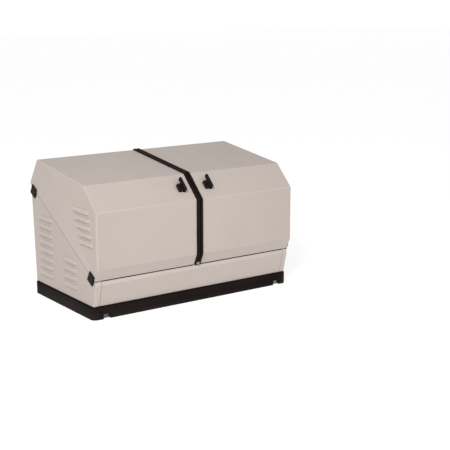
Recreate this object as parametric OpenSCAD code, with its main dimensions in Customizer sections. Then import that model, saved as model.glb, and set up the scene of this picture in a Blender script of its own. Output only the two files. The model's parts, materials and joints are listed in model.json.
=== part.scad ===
/* [Enclosure] */
// Length of the lids and the body from end to end
body_l = 1240; // [1000:10:1500]
// Height of the roof along its rear edge
roof_rear_z = 753; // [720:1:780]
// Height of the roof along its front edge
roof_front_z = 687; // [660:1:700]
// Distance from the centre plane to the roof's rear edge
roof_rear_y = 275; // [250:1:290]
// Distance from the centre plane to the roof's front edge
roof_front_y = 245; // [230:1:260]
// Distance from the centre plane to the lids' front face and rear edge
half_w = 369; // [360:1:380]
// Height of the top of the front face
front_top_z = 566; // [540:1:590]
// Height of the bottom of the front face
front_low_z = 271; // [255:1:290]
// Height of the lids' lower front edge
lid_front_z = 210; // [200:1:220]
// Distance from the centre plane to the lids' lower front edge
lid_front_y = 340; // [330:1:350]
// Height of the lids' lower rear edge
lid_rear_z = 613; // [600:1:630]
// Thickness of the sheet metal
sheet = 2; // [1.5:0.25:2.5]
// Gap between a lid's inner edge and the centre plane
lid_gap = 19.5; // [19:0.5:24]
// Outer radius of the bends along the lids
bend_r = 12; // [8:1:16]
// Outer radius of the edges round the lids' and the body's ends
edge_r = 7; // [5:0.5:8]

/* [Base] */
// Height of the base
base_h = 70; // [60:1:80]
// How far the base stands out past the body's ends
base_lip = 6.5; // [5:0.5:10]
// Distance from the centre plane to the front of the base
base_front = 325; // [320:1:330]
// Distance from the centre plane to the rear of the base
base_rear = 338; // [335:1:345]
// Radius of the base's upright corners
base_r = 28; // [20:1:40]
// Radius of the anchor holes
anchor_r = 7; // [5:0.5:9]
// Distance between anchor holes along the length
anchor_x = 1130; // [1100:5:1140]
// Distance between anchor holes across the width
anchor_y = 540; // [500:5:560]

/* [Lids] */
// Height of the lid hinge axis
hinge_z = 604; // [600:0.5:606]
// Distance from the centre plane to the lid hinge axis
hinge_y = 352; // [350:0.5:354]
// Distance from the hinge axis to both strut pins
strut_arm = 300; // [280:5:310]
// Angle between the two strut pins when a lid is shut
strut_angle = 60; // [58:1:62]
// Distance from the centre plane to each strut
strut_x = 588; // [584:1:590]

/* [Louvres] */
// Distance between louvre rows
louvre_pitch = 44; // [40:1:50]
// Height of the lowest louvre row
louvre_z = 124; // [120:1:130]
// How far a louvre hood stands out
louvre_out = 9; // [6:0.5:10]
// Height of a louvre hood
louvre_rise = 22; // [18:1:24]

/* [Latches] */
// Distance from the centre plane to the left latch's turning axis
latch_left_x = 69; // [64:1:72]
// Distance from the centre plane to the right latch's turning axis
latch_right_x = 99; // [94:1:106]
// Distance of both turning axes up the front bevel
latch_up = 63; // [54:1:66]
// Length of a latch lever
lever_l = 84; // [78:1:96]

/* [Power unit] */
// Height of the crankshaft axis
shaft_z = 300; // [290:1:310]
// Place of the crankshaft axis across the width
shaft_y = 30; // [20:1:40]
// Radius of the crankshaft where it turns in its bearings
shaft_r = 20; // [16:1:24]
// Angle of each cylinder from upright
bank = 45; // [40:1:50]
// Clearance of a running fit
fit = 0.06; // [0.03:0.01:0.09]

/* [Hidden] */
$fn = 64;
paint = "#c9bcb2";
black = "#1c1a19";
steel = "#9a9c9f";
cast = "#8c8f93";
dark = "#3a3d40";
end_x = body_l / 2;
// The body's ends sit just inside the lids' ends, so that a lid swings past them
skin_x = end_x - sheet - 0.6;
rim_w = 14;
front_rim = 32;
// Gap between the end panels' rims and the panels between them
rim_gap = 2.5;
// Slope of the seam between a lid and the body, seen from the end
seam_slope = (lid_rear_z - lid_front_z) / (half_w + lid_front_y);
seam_a = atan(seam_slope);
function seam_z(y) = lid_front_z + (y + lid_front_y) * seam_slope;
// Lower front panel: the lip under the lid and the foot on the base
lip_y = -344.5;
lip_z = 185;
foot_y = -316;
rear_foot_y = 333;
rear_top_y = 361;
rear_top_z = 599;
function rear_y(z) = rear_foot_y + (z - base_h) * (rear_top_y - rear_foot_y) / (rear_top_z - base_h);
rear_lean = atan((rear_top_y - rear_foot_y) / (rear_top_z - base_h));
// Outline of a lid, seen from the end, starting at its lower rear edge
lid_outline = [[half_w, lid_rear_z], [roof_rear_y, roof_rear_z], [-roof_front_y, roof_front_z],
    [-half_w, front_top_z], [-half_w, front_low_z], [-lid_front_y, lid_front_z]];
seam_gap = 7;
// Outline of the body's ends, below the seam
body_outline = [[foot_y, base_h], [rear_foot_y, base_h], [rear_top_y, rear_top_z],
    [rear_top_y - 2, seam_z(rear_top_y - 2) - seam_gap],
    [-lid_front_y - 1, seam_z(-lid_front_y - 1) - seam_gap],
    [lip_y, lip_z]];

// Point where the lines of two edges meet, each moved inwards by its own distance
function unit(v) = v / norm(v);
function inward(a, b) = let(d = unit(b - a)) [-d[1], d[0]];
function meet(a, da, b, db) =
    let(k = da[0] * db[1] - da[1] * db[0], w = b - a)
    a + da * ((w[0] * db[1] - w[1] * db[0]) / k);
function shrink(pts, by) = let(n = len(pts)) [for (i = [0:n - 1])
    let(p = pts[(i + n - 1) % n], q = pts[i], r = pts[(i + 1) % n],
        d1 = is_list(by) ? by[(i + n - 1) % n] : by, d2 = is_list(by) ? by[i] : by)
    meet(p + inward(p, q) * d1, unit(q - p), q + inward(q, r) * d2, unit(r - q))];

// Outline with an arc at every corner but its first and last, turning through STEPS parts
BEND_STEPS = 4;
function turned(v, a) = [v[0] * cos(a) - v[1] * sin(a), v[0] * sin(a) + v[1] * cos(a)];
function bend(p, q, s, r) =
    let(a = unit(p - q), b = unit(s - q), turn = 180 - acos(a * b),
        mid = q + unit(a + b) * r / cos(turn / 2), from = q + a * r * tan(turn / 2) - mid)
    [for (k = [0:BEND_STEPS]) mid + turned(from, turn * k / BEND_STEPS)];
function bent(pts, r) = let(n = len(pts)) [for (i = [0:n - 1])
    each (i == 0 || i == n - 1 ? [pts[i]] : bend(pts[i - 1], pts[i], pts[i + 1], r))];

// Solid between two places along X, with its outline given in Y and Z
module along_x(x0, x1, pts) {
    translate([x0, 0, 0])
        rotate([90, 0, 90])
            linear_extrude(x1 - x0)
                polygon(pts);
}
// Cutters that round the edges of such a solid where it ends at X, along some edges of its outline
module edge_rounds(x, pts, r, edges) {
    past = 24;
    for (i = edges)
        let(p = pts[i], run = pts[(i + 1) % len(pts)] - p)
            translate([x, p[0], p[1]])
                rotate([atan2(run[1], run[0]), 0, 0])
                    difference() {
                        translate([-r, -past, -1])
                            cube([r + 1, norm(run) + 2 * past, r + 1]);
                        translate([-r, -past - 1, r])
                            rotate([-90, 0, 0])
                                cylinder(r = r, h = norm(run) + 2 * past + 2);
                    }
}
module bar_x(x0, x1, y, z, r) {
    translate([x0, y, z])
        rotate([0, 90, 0])
            cylinder(r = r, h = x1 - x0);
}
module bar_y(x, y0, y1, z, r) {
    translate([x, y0, z])
        rotate([-90, 0, 0])
            cylinder(r = r, h = y1 - y0);
}
module block(x0, x1, y0, y1, z0, z1) {
    translate([x0, y0, z0])
        cube([x1 - x0, y1 - y0, z1 - z0]);
}
// Box with its upright edges rounded
module soft_block(x0, x1, y0, y1, z0, z1, r) {
    translate([0, 0, z0])
        linear_extrude(z1 - z0)
            round_rect(x0, x1, y0, y1, r);
}
module round_rect(x0, x1, y0, y1, r) {
    translate([x0 + r, y0])
        square([x1 - x0 - 2 * r, y1 - y0]);
    translate([x0, y0 + r])
        square([x1 - x0, y1 - y0 - 2 * r]);
    for (x = [x0 + r, x1 - r], y = [y0 + r, y1 - r])
        translate([x, y])
            circle(r);
}
// Draws its child on the right-hand end, or mirrored on the left-hand end
module on_side(s) {
    if (s > 0)
        children();
    else
        mirror([1, 0, 0])
            children();
}

// ---- Base and body panels ----
well_x = 540;
well_z = 20;
module slot_x(x, z0, z1) {
    block(x - 21, x + 21, -base_front - 1, -base_front + 40, z0, z1);
}
module base() {
    color(black)
        difference() {
            union() {
                soft_block(-end_x - base_lip, end_x + base_lip, -base_front, base_rear,
                    0, base_h - 6, base_r);
                // Step that the panels stand on
                soft_block(-end_x - 1, end_x + 1, -base_front + 5, base_rear - 4,
                    base_h - 7, base_h, base_r - 4);
            }
            // Open well under the power unit
            block(-well_x, well_x, -255, 265, well_z, base_h + 1);
            for (x = [-anchor_x / 2, anchor_x / 2], y = [-anchor_y / 2, anchor_y / 2])
                translate([x, y, -1])
                    cylinder(r = anchor_r, h = base_h + 2);
            // Lifting slots at the lower front edge
            for (x = [-545, 555])
                slot_x(x, -1, 26);
        }
}
// Louvres, in a local frame with X outwards, Y along the row and Z up
louvre_end = 10;
hood_wall = 1.6;
hood_root = 0.6;
// Quarter of an ellipse that leans over the opening and stands OUT proud
module hood_profile(w, out, rise, low) {
    translate([0, w / 2, 0])
        rotate([90, 0, 0])
            linear_extrude(w)
                polygon([[-hood_root, low], [-hood_root, rise],
                    for (t = [0:30:90]) [out * sin(t), rise * cos(t)],
                    [out, low]]);
}
// Upright prism that slopes a hood's two ends
module louvre_ends(w, out) {
    translate([0, 0, -1])
        linear_extrude(louvre_rise + 3)
            polygon([[-4, -w / 2], [0, -w / 2], [out, -w / 2 + louvre_end], [out, w / 2 - louvre_end],
                [0, w / 2], [-4, w / 2]]);
}
module louvre_hood(w) {
    intersection() {
        hood_profile(w, louvre_out, louvre_rise, -0.3);
        louvre_ends(w, louvre_out + 0.1);
    }
}
module louvre_cut(w) {
    intersection() {
        hood_profile(w, louvre_out - hood_wall, louvre_rise - 2 * hood_wall, -0.8);
        louvre_ends(w - 4, louvre_out - hood_wall);
    }
    translate([-sheet - 1, -w / 2 + 3, 2.5])
        cube([sheet + 2, w - 6, louvre_rise - 9]);
}
module louvre_column(x, y, z0, n, w, cut) {
    for (i = [0:n - 1])
        translate([x, y, z0 + i * louvre_pitch])
            if (cut)
                louvre_cut(w);
            else
                louvre_hood(w);
}
module end_louvres(cut) {
    louvre_column(skin_x, 198, louvre_z, 8, 152, cut);
    louvre_column(skin_x, -72, louvre_z, 4, 146, cut);
}
// Rear edge and the two front edges of the body's outline
BODY_EDGES = [1, 4, 5];
module end_panel() {
    difference() {
        union() {
            difference() {
                along_x(skin_x - front_rim, skin_x, body_outline);
                edge_rounds(skin_x, body_outline, edge_r, BODY_EDGES);
                difference() {
                    along_x(skin_x - front_rim - 1, skin_x - sheet, shrink(body_outline, sheet));
                    edge_rounds(skin_x - sheet, shrink(body_outline, sheet), edge_r - sheet, BODY_EDGES);
                }
                // Only the front rim is wide
                along_x(skin_x - front_rim - 1, skin_x - rim_w,
                    [[foot_y + 14, base_h - 1], [400, base_h - 1], [400, 700],
                    [-lid_front_y + 26, seam_z(-lid_front_y + 26) + 20], [-lid_front_y + 26, lip_z]]);
            }
            end_louvres(false);
            // Pin that the gas strut turns on
            bar_x(strut_x - 13, skin_x - 1, strut_foot[0], strut_foot[1], 5);
            bar_x(skin_x - 8, skin_x - 1, strut_foot[0], strut_foot[1], 12);
        }
        end_louvres(true);
    }
}
module end_panel_left() { color(paint) on_side(-1) end_panel(); }
module end_panel_right() { color(paint) on_side(1) end_panel(); }
module rear_panel() {
    x1 = skin_x - rim_w - rim_gap;
    skin = [[rear_foot_y - sheet, base_h], [rear_foot_y, base_h], [rear_top_y, rear_top_z],
        [rear_top_y - sheet, rear_top_z]];
    color(paint)
        difference() {
            union() {
                along_x(-x1, x1, skin);
                // Foot flange on the base
                block(-x1, x1, rear_foot_y - 18, rear_foot_y - 1, base_h, base_h + sheet);
                rear_louvres(false);
            }
            rear_louvres(true);
            bar_y(fuel_x, 300, 400, fuel_z, fuel_r + 1);
            bar_y(conduit_x, 300, 400, conduit_z, conduit_r + 2.5);
            bar_y(tail_x, 300, 400, tail_z, 30);
        }
}
module rear_louvres(cut) {
    for (x = [110, 310], i = [0:5])
        let(z = 290 + i * louvre_pitch)
            translate([x, rear_y(z), z])
                rotate([-rear_lean, 0, 0])
                    rotate([0, 0, 90])
                        if (cut)
                            louvre_cut(150);
                        else
                            louvre_hood(150);
}
fuel_x = 470;
fuel_z = 210;
fuel_r = 10.5;
conduit_x = 250;
conduit_z = 150;
conduit_r = 16;
tail_x = -430;
tail_z = 250;
// Top flange of the front panel, under the lids' front edge
panel_top_y = -lid_front_y - 0.6;
function panel_top_z(y) = seam_z(y) - seam_gap;
module front_panel() {
    x1 = skin_x - front_rim - rim_gap;
    top_y = panel_top_y;
    top_z = panel_top_z(panel_top_y);
    back_y = -lid_front_y + 20;
    color(paint)
        difference() {
            union() {
                along_x(-x1, x1, [[foot_y, base_h], [foot_y + sheet, base_h], [lip_y + sheet, lip_z],
                    [top_y + sheet, panel_top_z(top_y + sheet) - sheet],
                    [back_y, panel_top_z(back_y) - sheet], [back_y, panel_top_z(back_y)],
                    [top_y, top_z], [lip_y, lip_z]]);
                block(-x1, x1, foot_y + 1, foot_y + 18, base_h, base_h + sheet);
            }
            for (x = [-400, 0, 400])
                translate([x, foot_y + 11, base_h - 1])
                    cylinder(r = 3.2, h = 5);
        }
}
// ---- Centre arch and its trim ----
foot_z = rear_top_z - 60;
// Band that follows the lids' outline between two depths, ending short of the seam
module arch_band(x0, x1, d0, d1, short = 0, rear = undef) {
    difference() {
        along_x(x0, x1,
            bent(shrink(lid_outline, [is_undef(rear) ? d0 : rear, d0, d0, d0, d0, short]), bend_r));
        along_x(x0 - 1, x1 + 1, shrink(lid_outline, [d1, d1, d1, d1, d1, -40]));
    }
}
module centre_arch() {
    color(paint)
        difference() {
            union() {
                arch_band(-16, 16, 4, 30);
                arch_band(-50, 50, 28, 30);
                // Foot on the front panel
                along_x(-16, 16, [[-lid_front_y + 4, panel_top_z(-lid_front_y + 4)],
                    [-lid_front_y + 20, panel_top_z(-lid_front_y + 20)],
                    [-lid_front_y + 20, lid_front_z + 20], [-lid_front_y + 4, lid_front_z + 16]]);
                // Foot on the rear panel
                along_x(-50, 50, [[rear_y(foot_z) - sheet - 3, foot_z], [rear_y(foot_z) - sheet, foot_z],
                    [rear_y(rear_top_z - 1) - sheet, rear_top_z - 1], [340, 604], [331, 607], [329, 602],
                    [rear_y(rear_top_z) - sheet - 3, rear_top_z - 8]]);
            }
            arch_band(-13.5, 13.5, 6.5, 31);
        }
}
trim_w = 37;
ridge_w = 13.5;
module centre_trim() {
    color(black)
        union() {
            arch_band(-trim_w / 2, trim_w / 2, -3.5, 4, 0, -1);
            // Two ridges with a groove between them
            for (x = [-trim_w / 2 + 1.5, 3.5])
                arch_band(x, x + ridge_w, -7.5, 0, 2, -1.5);
        }
}

// ---- Lids ----
strut_shut = 199.8;
strut_head = [hinge_y + strut_arm * cos(strut_shut), hinge_z + strut_arm * sin(strut_shut)];
strut_foot = [hinge_y + strut_arm * cos(strut_shut + strut_angle),
    hinge_z + strut_arm * sin(strut_shut + strut_angle)];
lid_inner = shrink(lid_outline, [sheet, sheet, sheet, sheet, sheet, -60]);
// All edges of a lid's outline but the open one
LID_EDGES = [0, 1, 2, 3, 4];
module lid_hoods(cut) {
    for (i = [0:4])
        let(w = 172 - 8 * i)
            translate([end_x, -207 - 13 * i, 545 - 40 * i])
                if (cut)
                    louvre_cut(w);
                else
                    louvre_hood(w);
}
module lid(latch_x) {
    difference() {
        union() {
            difference() {
                along_x(lid_gap, end_x, bent(lid_outline, bend_r));
                edge_rounds(end_x, lid_outline, edge_r, LID_EDGES);
                difference() {
                    along_x(lid_gap - 1, end_x - sheet, bent(lid_inner, bend_r - sheet));
                    edge_rounds(end_x - sheet, lid_inner, edge_r - sheet, LID_EDGES);
                }
            }
            // Return flange beside the trim
            difference() {
                along_x(lid_gap, lid_gap + sheet, bent(lid_outline, bend_r));
                along_x(lid_gap - 1, lid_gap + sheet + 1, shrink(lid_outline, [22, 22, 22, 22, 22, -60]));
            }
            // Return flange along the end and the front, resting on the seal
            difference() {
                along_x(lid_gap, end_x - 0.6, seam_strip);
                block(lid_gap - 1, end_x - 16, -lid_front_y + 14, 400, 0, 900);
                block(0, 700, 285, 500, 0, 900);
            }
            lid_hoods(false);
            // Pin that the gas strut turns on
            bar_x(strut_x - 13, end_x - 1, strut_head[0], strut_head[1], 5);
            bar_x(end_x - 9, end_x - 1, strut_head[0], strut_head[1], 12);
        }
        lid_hoods(true);
        on_bevel(latch_x)
            translate([0, 0, -6])
                cylinder(r = 8, h = 12);
    }
}
// Strip just above the seam, inside the lid's outline
seam_strip = [[half_w, lid_rear_z], [half_w - 1, lid_rear_z + sheet],
    [-lid_front_y - 0.8, lid_front_z + sheet], [-lid_front_y, lid_front_z]];
// Local frame on the front bevel: X along the lid, Y up the slope, Z outwards
bevel_a = atan((roof_front_z - front_top_z) / (half_w - roof_front_y));
module on_bevel(x) {
    translate([x, -half_w, front_top_z])
        rotate([bevel_a, 0, 0])
            translate([0, latch_up, 0])
                children();
}
module lid_left() {
    color(paint)
        mirror([1, 0, 0])
            lid(latch_left_x);
}
module lid_right() { color(paint) lid(latch_right_x); }
// Foam strip under the seam, between two places across the width
function seal_strip(y0, y1, thick) = [[y1, seam_z(y1) - thick], [y1, seam_z(y1) - 0.3],
    [y0, seam_z(y0) - 0.3], [y0, seam_z(y0) - thick]];
module lid_seals() {
    color(black)
        union() {
            for (s = [-1, 1])
                on_side(s) {
                    along_x(end_x - 15, skin_x - 1,
                        seal_strip(-lid_front_y + 3, rear_top_y - 70, seam_gap - 0.1));
                    along_x(lid_gap + 6, skin_x - front_rim - 3,
                        seal_strip(-lid_front_y + 2, -lid_front_y + 12, seam_gap - 0.1));
                }
            for (s = [-1, 1])
                on_side(s)
                    difference() {
                        arch_band(lid_gap + 0.5, lid_gap + 14, 22.3, 28);
                        block(0, 100, 250, 500, 0, 900);
                        block(0, 100, -500, -300, 0, 300);
                    }
        }
}
// ---- Lid hinges ----
pin_r = 3;
knuckle_r = 6;
hinge_at = [130, 510];
module fixed_leaf(x) {
    z0 = rear_top_z - 48;
    difference() {
        union() {
            along_x(x - 35, x + 35, [[rear_y(z0) - sheet - 2.5, z0], [rear_y(z0) - sheet, z0],
                [rear_y(rear_top_z - 1) - sheet, rear_top_z - 1], [hinge_y + 5, hinge_z + 1],
                [hinge_y - 5, hinge_z], [rear_y(rear_top_z) - sheet - 3.5, rear_top_z - 8]]);
            bar_x(x - 35, x + 35, hinge_y, hinge_z, knuckle_r);
        }
        bar_x(x - 12.3, x + 12.3, hinge_y, hinge_z, knuckle_r + 2);
        bar_x(x - 40, x + 40, hinge_y, hinge_z, pin_r);
    }
}
module moving_leaf(x) {
    up = unit([roof_rear_y - half_w, roof_rear_z - lid_rear_z]);
    skin = [half_w, lid_rear_z] + [-up[1], up[0]] * sheet;
    difference() {
        union() {
            along_x(x - 12, x + 12, [[hinge_y - 5.5, hinge_z + 2], [hinge_y + 5.5, hinge_z + 2],
                skin + up * 14, skin + up * 24, skin + up * 26 + [-up[1], up[0]] * 3]);
            along_x(x - 35, x + 35, [skin + up * 14, skin + up * 60, skin + up * 60 + [-up[1], up[0]] * 2.5,
                skin + up * 14 + [-up[1], up[0]] * 2.5]);
            bar_x(x - 12, x + 12, hinge_y, hinge_z, knuckle_r);
        }
        bar_x(x - 40, x + 40, hinge_y, hinge_z, pin_r + fit);
    }
}
module hinge_leaves_body() {
    color(steel)
        for (s = [-1, 1], x = hinge_at)
            fixed_leaf(s * x);
}
module hinge_pins() {
    color(steel)
        for (s = [-1, 1], x = hinge_at)
            bar_x(s * x - 37, s * x + 37, hinge_y, hinge_z, pin_r);
}
module hinge_leaves_left() {
    color(steel)
        for (x = hinge_at)
            moving_leaf(-x);
}
module hinge_leaves_right() {
    color(steel)
        for (x = hinge_at)
            moving_leaf(x);
}
module corner_caps() {
    side = 27;
    color(black)
        for (s = [-1, 1], y = [317, -306])
            on_side(s)
                translate([skin_x, y, seam_z(y) - 10])
                    rotate([seam_a, 0, 0])
                        difference() {
                            union() {
                                block(3.1, 9.1, -side, side, -side, side);
                                block(3, 10, -side + 5, side - 5, -side + 5, side - 5);
                                block(0, 4, -side, side, -side, 4);
                            }
                            block(-1, 3.1, -side - 1, side + 1, 4, side + 1);
                        }
}
module panel_screws() {
    color(steel)
        union() {
            for (s = [-1, 1], p = [[329, 516], [318, 90], [-298, 90], [60, 90]])
                on_side(s)
                    translate([skin_x, p[0], p[1]])
                        rotate([0, 90, 0])
                            screw_head();
            for (x = [-560, -280, 0, 280, 560], z = [100])
                translate([x, rear_y(z), z])
                    rotate([-90 - rear_lean, 0, 0])
                        screw_head();
        }
}
module screw_head() {
    difference() {
        rotate_extrude()
            polygon([[0, 0], [6, 0], [6, 1.2], [4.4, 3.4], [0, 3.8]]);
        translate([0, 0, 2])
            cylinder(r = 2.4, h = 3, $fn = 6);
    }
}
// ---- Latches ----
lever_w = 15;
lever_z = 13;
lever_back = 9;
lever_r = 7.4;
latch_shaft_r = 5;
lock_x0 = -33;
lock_x1 = -9;
lock_up = 41;
lock_h = 19;
lock_face_r = 7;
lock_face_y = 12;
plate_h = 8;
module latch_base() {
    difference() {
        union() {
            soft_block(lock_x0, 9, -3, 12, 0, plate_h, 4);
            cylinder(r = 9, h = plate_h);
            soft_block(lock_x0, lock_x1, -4, lock_up, 0, lock_h, 4);
        }
        translate([0, 0, -1])
            cylinder(r = latch_shaft_r + fit, h = plate_h + 2);
        // Keyway of the lock
        translate([(lock_x0 + lock_x1) / 2, lock_face_y, lock_h - 3])
            cylinder(r = lock_face_r, h = 4);
        translate([(lock_x0 + lock_x1) / 2 - 1, lock_face_y - 5, lock_h - 7])
            cube([2, 10, 5]);
    }
}
module latch_lever() {
    union() {
        difference() {
            union() {
                soft_block(-lever_w / 2, lever_w / 2, -lever_back, lever_l - lever_back,
                    lever_z, lever_z + 14, lever_r);
                translate([0, 0, plate_h + 0.4])
                    cylinder(r = lever_r, h = lever_z - plate_h);
            }
            // Finger hollow under the free end
            translate([0, lever_l - lever_back, lever_z - 1])
                soft_block(-4, 4, -46, -8, 0, 6, 3.9);
        }
        translate([0, 0, cam_z])
            cylinder(r = latch_shaft_r, h = lever_z - cam_z + 2);
    }
}
// Distance from the centre plane to a cam's tip when it holds a lid shut
cam_end = 38;
cam_z = -35;
cam_t = 4;
cam_w = 14;
module latch_cam(turn, reach) {
    rotate([0, 0, turn])
        difference() {
            union() {
                translate([0, 0, cam_z])
                    cylinder(r = 10, h = cam_t);
                translate([0, -cam_w / 2, cam_z])
                    cube([reach, cam_w, cam_t]);
            }
            translate([0, 0, cam_z - 1])
                cylinder(r = latch_shaft_r, h = cam_t + 2);
        }
}
module latch_base_left() { color(black) on_bevel(-latch_left_x) latch_base(); }
module latch_base_right() { color(black) on_bevel(latch_right_x) latch_base(); }
module latch_lever_left() { color(black) on_bevel(-latch_left_x) latch_lever(); }
module latch_lever_right() { color(black) on_bevel(latch_right_x) latch_lever(); }
module latch_cam_left() { color(steel) on_bevel(-latch_left_x) latch_cam(90, latch_left_x - cam_end); }
module latch_cam_right() { color(steel) on_bevel(latch_right_x) latch_cam(-90, latch_right_x - cam_end); }
// ---- Gas struts ----
strut_dir = unit(strut_head - strut_foot);
strut_l = norm(strut_head - strut_foot);
rod_r = 4;
tube_r = 9;
strut_pin_r = 5;
// Local frame: X across, Y square to the strut, Z from its foot to its head
module along_strut(s) {
    translate([s * strut_x, strut_foot[0], strut_foot[1]])
        rotate([90 - atan2(strut_dir[1], -strut_dir[0]), 0, 0])
            children();
}
module strut_eye(z) {
    translate([-5, 0, z])
        rotate([0, 90, 0])
            difference() {
                cylinder(r = 9, h = 10);
                translate([0, 0, -1])
                    cylinder(r = strut_pin_r + fit, h = 12);
            }
}
module strut_tube() {
    difference() {
        union() {
            translate([0, 0, 14])
                cylinder(r = tube_r, h = 242);
            strut_eye(0);
            translate([-4, -5, 7])
                cube([8, 10, 10]);
        }
        translate([0, 0, 24])
            cylinder(r = tube_r - 1.5, h = 224);
        translate([0, 0, 240])
            cylinder(r = rod_r + fit, h = 20);
    }
}
module strut_rod() {
    translate([0, 0, 34])
        cylinder(r = tube_r - 1.5 - fit, h = 8);
    translate([0, 0, 41])
        cylinder(r = rod_r, h = strut_l - 54);
    difference() {
        union() {
            strut_eye(strut_l);
            translate([-4, -5, strut_l - 20])
                cube([8, 10, 13]);
        }
        translate([-6, 0, strut_l])
            rotate([0, 90, 0])
                cylinder(r = strut_pin_r + fit, h = 12);
    }
}
module strut_tube_left() { color(dark) along_strut(-1) strut_tube(); }
module strut_tube_right() { color(dark) along_strut(1) strut_tube(); }
module strut_rod_left() { color(steel) along_strut(-1) strut_rod(); }
module strut_rod_right() { color(steel) along_strut(1) strut_rod(); }
// ---- Power unit ----
rail_y = 130;
rail_top = 96;
module engine_rails() {
    color(dark)
        for (s = [-1, 1])
            difference() {
                block(-300, 350, shaft_y + s * rail_y - 22, shaft_y + s * rail_y + 22,
                    rail_top - 4, rail_top + 36);
                block(-301, 351, shaft_y + s * rail_y - 19, shaft_y + s * rail_y + 19,
                    rail_top - 5, rail_top + 33);
            }
}
module isolators() {
    color(black)
        for (s = [-1, 1], x = [-265, 300])
            translate([x, shaft_y + s * rail_y, well_z])
                rotate_extrude()
                    polygon([[0, 0], [24, 0], [24, 10], [17, 24], [17, rail_top + 13], [0, rail_top + 13]]);
}
// Crankcase in the middle of the engine, with a cylinder bank each side
case_x0 = 60;
case_x1 = 250;
module crankcase() {
    color(cast)
        difference() {
            union() {
                bar_x(case_x0, case_x1, shaft_y, shaft_z, 105);
                block(case_x0, case_x1, shaft_y - 110, shaft_y + 110, 170, shaft_z - 20);
                block(case_x0 + 10, case_x1 - 10, shaft_y - 152, shaft_y + 152, rail_top + 36, 172);
                bar_x(case_x0 - 22, case_x0 + 1, shaft_y, shaft_z, 80);
                bar_x(case_x1 - 1, case_x1 + 26, shaft_y, shaft_z, 60);
                // Decks that the cylinders stand on
                for (s = [-1, 1])
                    on_bank(s)
                        soft_block(-60, 60, -50, 50, 50, 106, 10);
                // Boss for the dipstick
                translate([case_x1 - 30, shaft_y - 96, 230])
                    rotate([30, 0, 0])
                        cylinder(r = 15, h = 62);
            }
            bar_x(case_x0 + 14, case_x1 - 14, shaft_y, shaft_z, 90);
            block(case_x0 + 14, case_x1 - 14, shaft_y - 95, shaft_y + 95, 185, shaft_z);
            bar_x(case_x0 - 30, case_x1 + 30, shaft_y, shaft_z, shaft_r + fit);
            translate([case_x1 - 30, shaft_y - 96, 230])
                rotate([30, 0, 0])
                    translate([0, 0, -60])
                        cylinder(r = 6, h = 130);
            // Seats of the cylinders
            for (s = [-1, 1])
                on_bank(s)
                    cylinder(r = 38, h = 130);
        }
}
// Local frame on a cylinder: Z from the crankshaft outwards
module on_bank(s) {
    translate([155 + s * 22, shaft_y, shaft_z])
        rotate([-s * bank, 0, 0])
            children();
}
module cylinders() {
    color(cast)
        for (s = [-1, 1])
            on_bank(s)
                difference() {
                    union() {
                        translate([0, 0, 106])
                            cylinder(r = 46, h = 84);
                        for (i = [0:6])
                            translate([0, 0, 112 + i * 11])
                                soft_block(-64, 64, -62, 62, 0, 3.5, 18);
                    }
                    cylinder(r = 37.5, h = 300);
                }
}
module cylinder_heads() {
    color(cast)
        for (s = [-1, 1])
            on_bank(s)
                union() {
                    soft_block(-56, 56, -54, 54, 190.4, 226, 14);
                    for (i = [0:2])
                        soft_block(-64, 64, -62, 62, 194 + i * 11, 197.5 + i * 11, 18);
                }
}
module valve_covers() {
    color(dark)
        for (s = [-1, 1])
            on_bank(s)
                union() {
                    soft_block(-52, 52, -46, 46, 226.4, 250, 16);
                    soft_block(-46, 46, -40, 40, 250, 257, 14);
                    for (x = [-40, 40], y = [-34, 34])
                        translate([x, y, 240])
                            cylinder(r = 5, h = 14);
                }
}
module blower_housing() {
    color(dark)
        difference() {
            union() {
                bar_x(case_x1 + 26, case_x1 + 110, shaft_y, shaft_z, 148);
                block(case_x1 + 26, case_x1 + 80, shaft_y - 120, shaft_y + 120, shaft_z, shaft_z + 180);
            }
            bar_x(case_x1 + 29, case_x1 + 106, shaft_y, shaft_z, 144);
            bar_x(case_x1 + 20, case_x1 + 30, shaft_y, shaft_z, 50);
            block(case_x1 + 29, case_x1 + 76, shaft_y - 116, shaft_y + 116, shaft_z, shaft_z + 176);
            // Round air intake
            bar_x(case_x1 + 100, case_x1 + 120, shaft_y, shaft_z, 92);
        }
}
module flywheel_fan() {
    x0 = case_x1 + 34;
    color(steel)
        difference() {
            union() {
                bar_x(x0, x0 + 16, shaft_y, shaft_z, 120);
                bar_x(x0, x0 + 34, shaft_y, shaft_z, 34);
                for (i = [0:15])
                    translate([x0 + 15, shaft_y, shaft_z])
                        rotate([i * 22.5, 0, 0])
                            translate([0, 78, -2])
                                cube([38, 40, 4]);
            }
            bar_x(x0 - 1, x0 + 40, shaft_y, shaft_z, 16);
        }
}
crank_throw = 34;
module crankshaft() {
    color(steel)
        union() {
            bar_x(case_x0 - 60, 105, shaft_y, shaft_z, shaft_r);
            bar_x(205, case_x1 + 27, shaft_y, shaft_z, shaft_r);
            bar_x(case_x1 + 26, case_x1 + 72, shaft_y, shaft_z, 16);
            bar_x(104, 206, shaft_y, shaft_z + crank_throw, 17);
            for (x = [104, 192])
                difference() {
                    bar_x(x, x + 14, shaft_y, shaft_z, 62);
                    block(x - 1, x + 15, shaft_y - 80, shaft_y - 24, shaft_z + 4, shaft_z + 80);
                    block(x - 1, x + 15, shaft_y + 24, shaft_y + 80, shaft_z + 4, shaft_z + 80);
                }
            // Long shaft of the alternator
            bar_x(-285, case_x0 - 59, shaft_y, shaft_z, 18);
        }
}
alt_x0 = -262;
alt_x1 = case_x0 - 22;
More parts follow.
